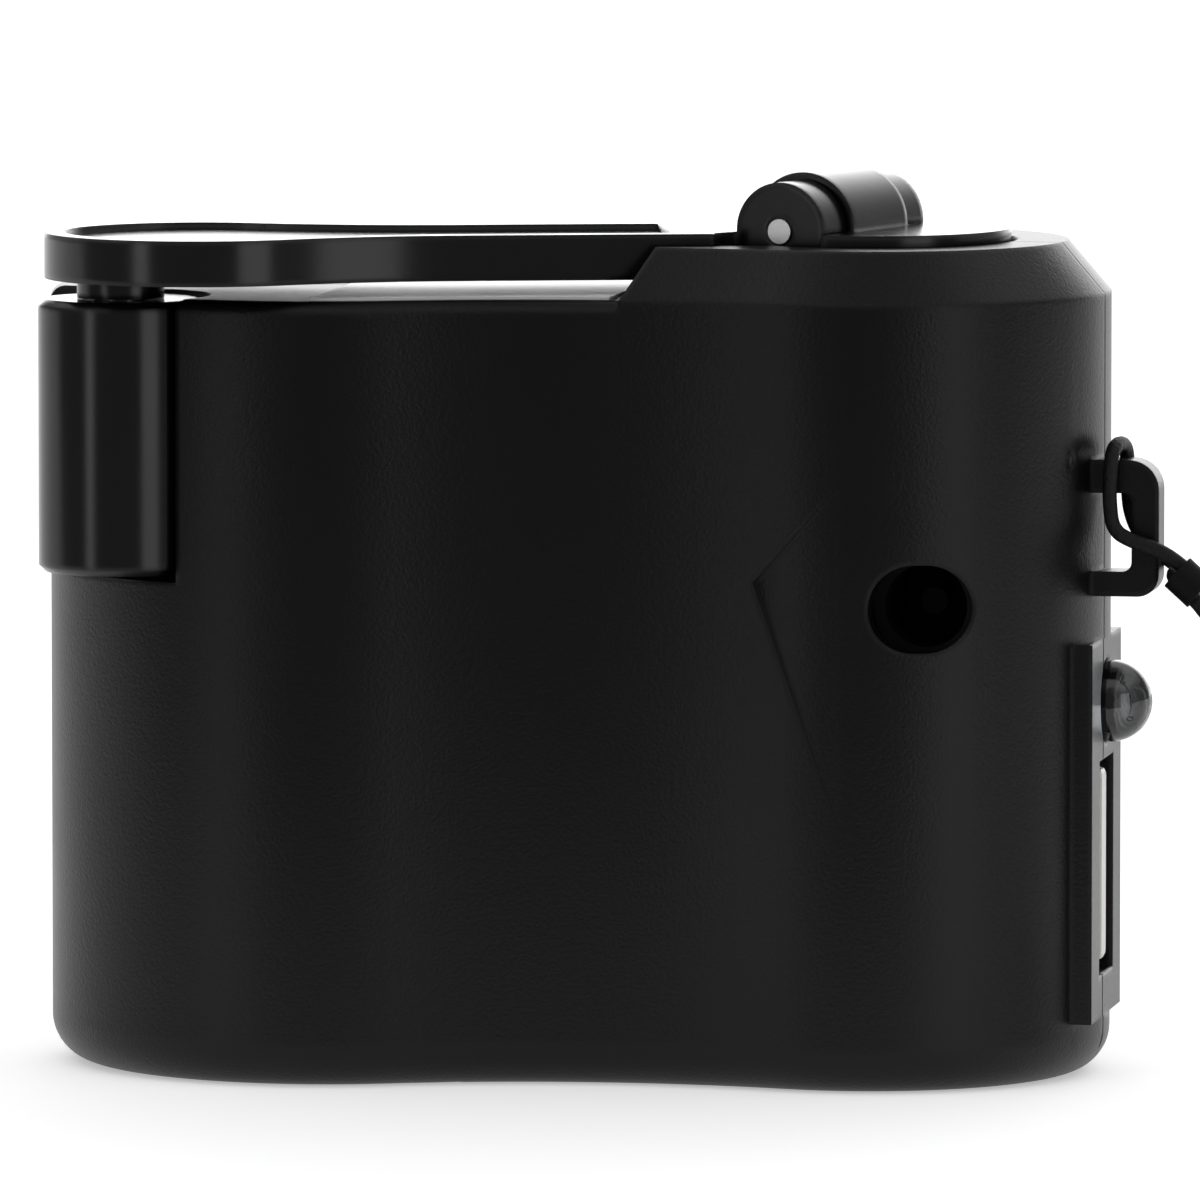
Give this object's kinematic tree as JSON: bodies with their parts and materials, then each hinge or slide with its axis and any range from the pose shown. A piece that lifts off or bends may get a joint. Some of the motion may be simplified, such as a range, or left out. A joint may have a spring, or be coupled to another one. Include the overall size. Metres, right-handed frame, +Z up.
{
  "type": "hand crank phone charger",
  "caption": "Pocket phone charger with a folding hand crank on top, a gear train and generator inside, a USB socket, a DC jack, a lamp and a wrist cord.",
  "frame": {"origin": "on the flat base, midway between the two ends of the housing", "axes": "+X along the body to the end with the USB socket, -Y the side with the DC jack, +Z up; the crank turns about Z"},
  "size_m": [0.0961, 0.0374, 0.0548],
  "materials": {
    "black_plastic": "fine matt texture",
    "crank_plastic": "semi gloss",
    "label_white": "satin film",
    "steel": "bright",
    "zinc_steel": "zinc plated",
    "bronze": "sintered",
    "gear_nylon": "smooth",
    "plate_plastic": "smooth",
    "magnet": "sintered",
    "copper": "enamelled wire",
    "tinned": "tinned",
    "board_green": "solder mask",
    "tongue_white": "smooth",
    "gold": "gold plated",
    "jack_black": "smooth",
    "lamp_clear": "clear epoxy",
    "cap_sleeve": "shrink sleeve",
    "chip_black": "moulded",
    "wire_red": "insulated",
    "cord_black": "braided"
  },
  "bodies": {
    "housing": {"front_shell": "black_plastic", "rear_shell": "black_plastic", "label_plate": "label_white", "shell_screws": "zinc_steel", "top_bush": "bronze", "hub_washer": "steel", "upper_gear_plate": "plate_plastic", "lower_gear_plate": "plate_plastic", "plate_pillars": "steel", "gear_axles": "steel", "generator_can": "zinc_steel", "generator_end_cap": "plate_plastic", "stator_magnets": "magnet", "generator_leads": "wire_red", "circuit_board": "board_green", "usb_shell": "tinned", "usb_tongue": "tongue_white", "usb_contacts": "gold", "dc_jack": "jack_black", "dc_jack_pin": "tinned", "led_lamp": "lamp_clear", "led_leads": "tinned", "capacitor": "cap_sleeve", "diodes": "chip_black", "regulator": "chip_black", "lanyard_cord": "cord_black", "lanyard_coil": "cord_black", "lanyard_ferrule": "jack_black", "lanyard_knot": "cord_black"},
    "crank_head": {"crank_hub": "crank_plastic", "crank_shaft": "steel", "shaft_clip": "steel"},
    "arm": {"crank_arm": "crank_plastic", "hinge_pin": "steel", "knob_stud": "steel", "knob_screw": "zinc_steel"},
    "grip": {"knob": "crank_plastic"},
    "crank_wheel": {"crank_gear": "gear_nylon", "one_way_clutch": "steel"},
    "gear_one": {"first_gear": "gear_nylon"},
    "gear_two": {"second_gear": "gear_nylon"},
    "rotor": {"rotor_shaft": "steel", "armature": "copper", "commutator": "copper", "motor_pinion": "bronze"}
  },
  "joints": [
    {"name": "crank_spin", "type": "hinge", "parent": "housing", "child": "crank_head", "pos_m": [0.0177, 0, 0.048], "axis": [0, 0, 1], "range_deg": [-0.5, 0.5]},
    {"name": "arm_fold", "type": "hinge", "parent": "crank_head", "child": "arm", "pos_m": [0.0153, 0, 0.0514], "axis": [0.2924, 0.9563, 0], "range_deg": [0, 180]},
    {"name": "knob_spin", "type": "hinge", "parent": "arm", "child": "grip", "pos_m": [-0.02612, -0.01224, 0.04], "axis": [0, 0, 1], "continuous": true},
    {"name": "gear_spin", "type": "hinge", "parent": "housing", "child": "crank_wheel", "pos_m": [0.0177, 0, 0.041], "axis": [0, 0, 1], "continuous": true},
    {"name": "first_gear_spin", "type": "hinge", "parent": "housing", "child": "gear_one", "pos_m": [0.0047, 0, 0.04], "axis": [0, 0, 1], "continuous": true},
    {"name": "second_gear_spin", "type": "hinge", "parent": "housing", "child": "gear_two", "pos_m": [-0.0065, -0.00262, 0.038], "axis": [0, 0, 1], "continuous": true},
    {"name": "rotor_spin", "type": "hinge", "parent": "housing", "child": "rotor", "pos_m": [-0.0145, 0.0015, 0.03], "axis": [0, 0, 1], "continuous": true}
  ],
  "couplings": [
    {"joint": "first_gear_spin", "follows": "gear_spin", "ratio": -4.2},
    {"joint": "second_gear_spin", "follows": "gear_spin", "ratio": 15.12},
    {"joint": "rotor_spin", "follows": "gear_spin", "ratio": -39.312}
  ]
}
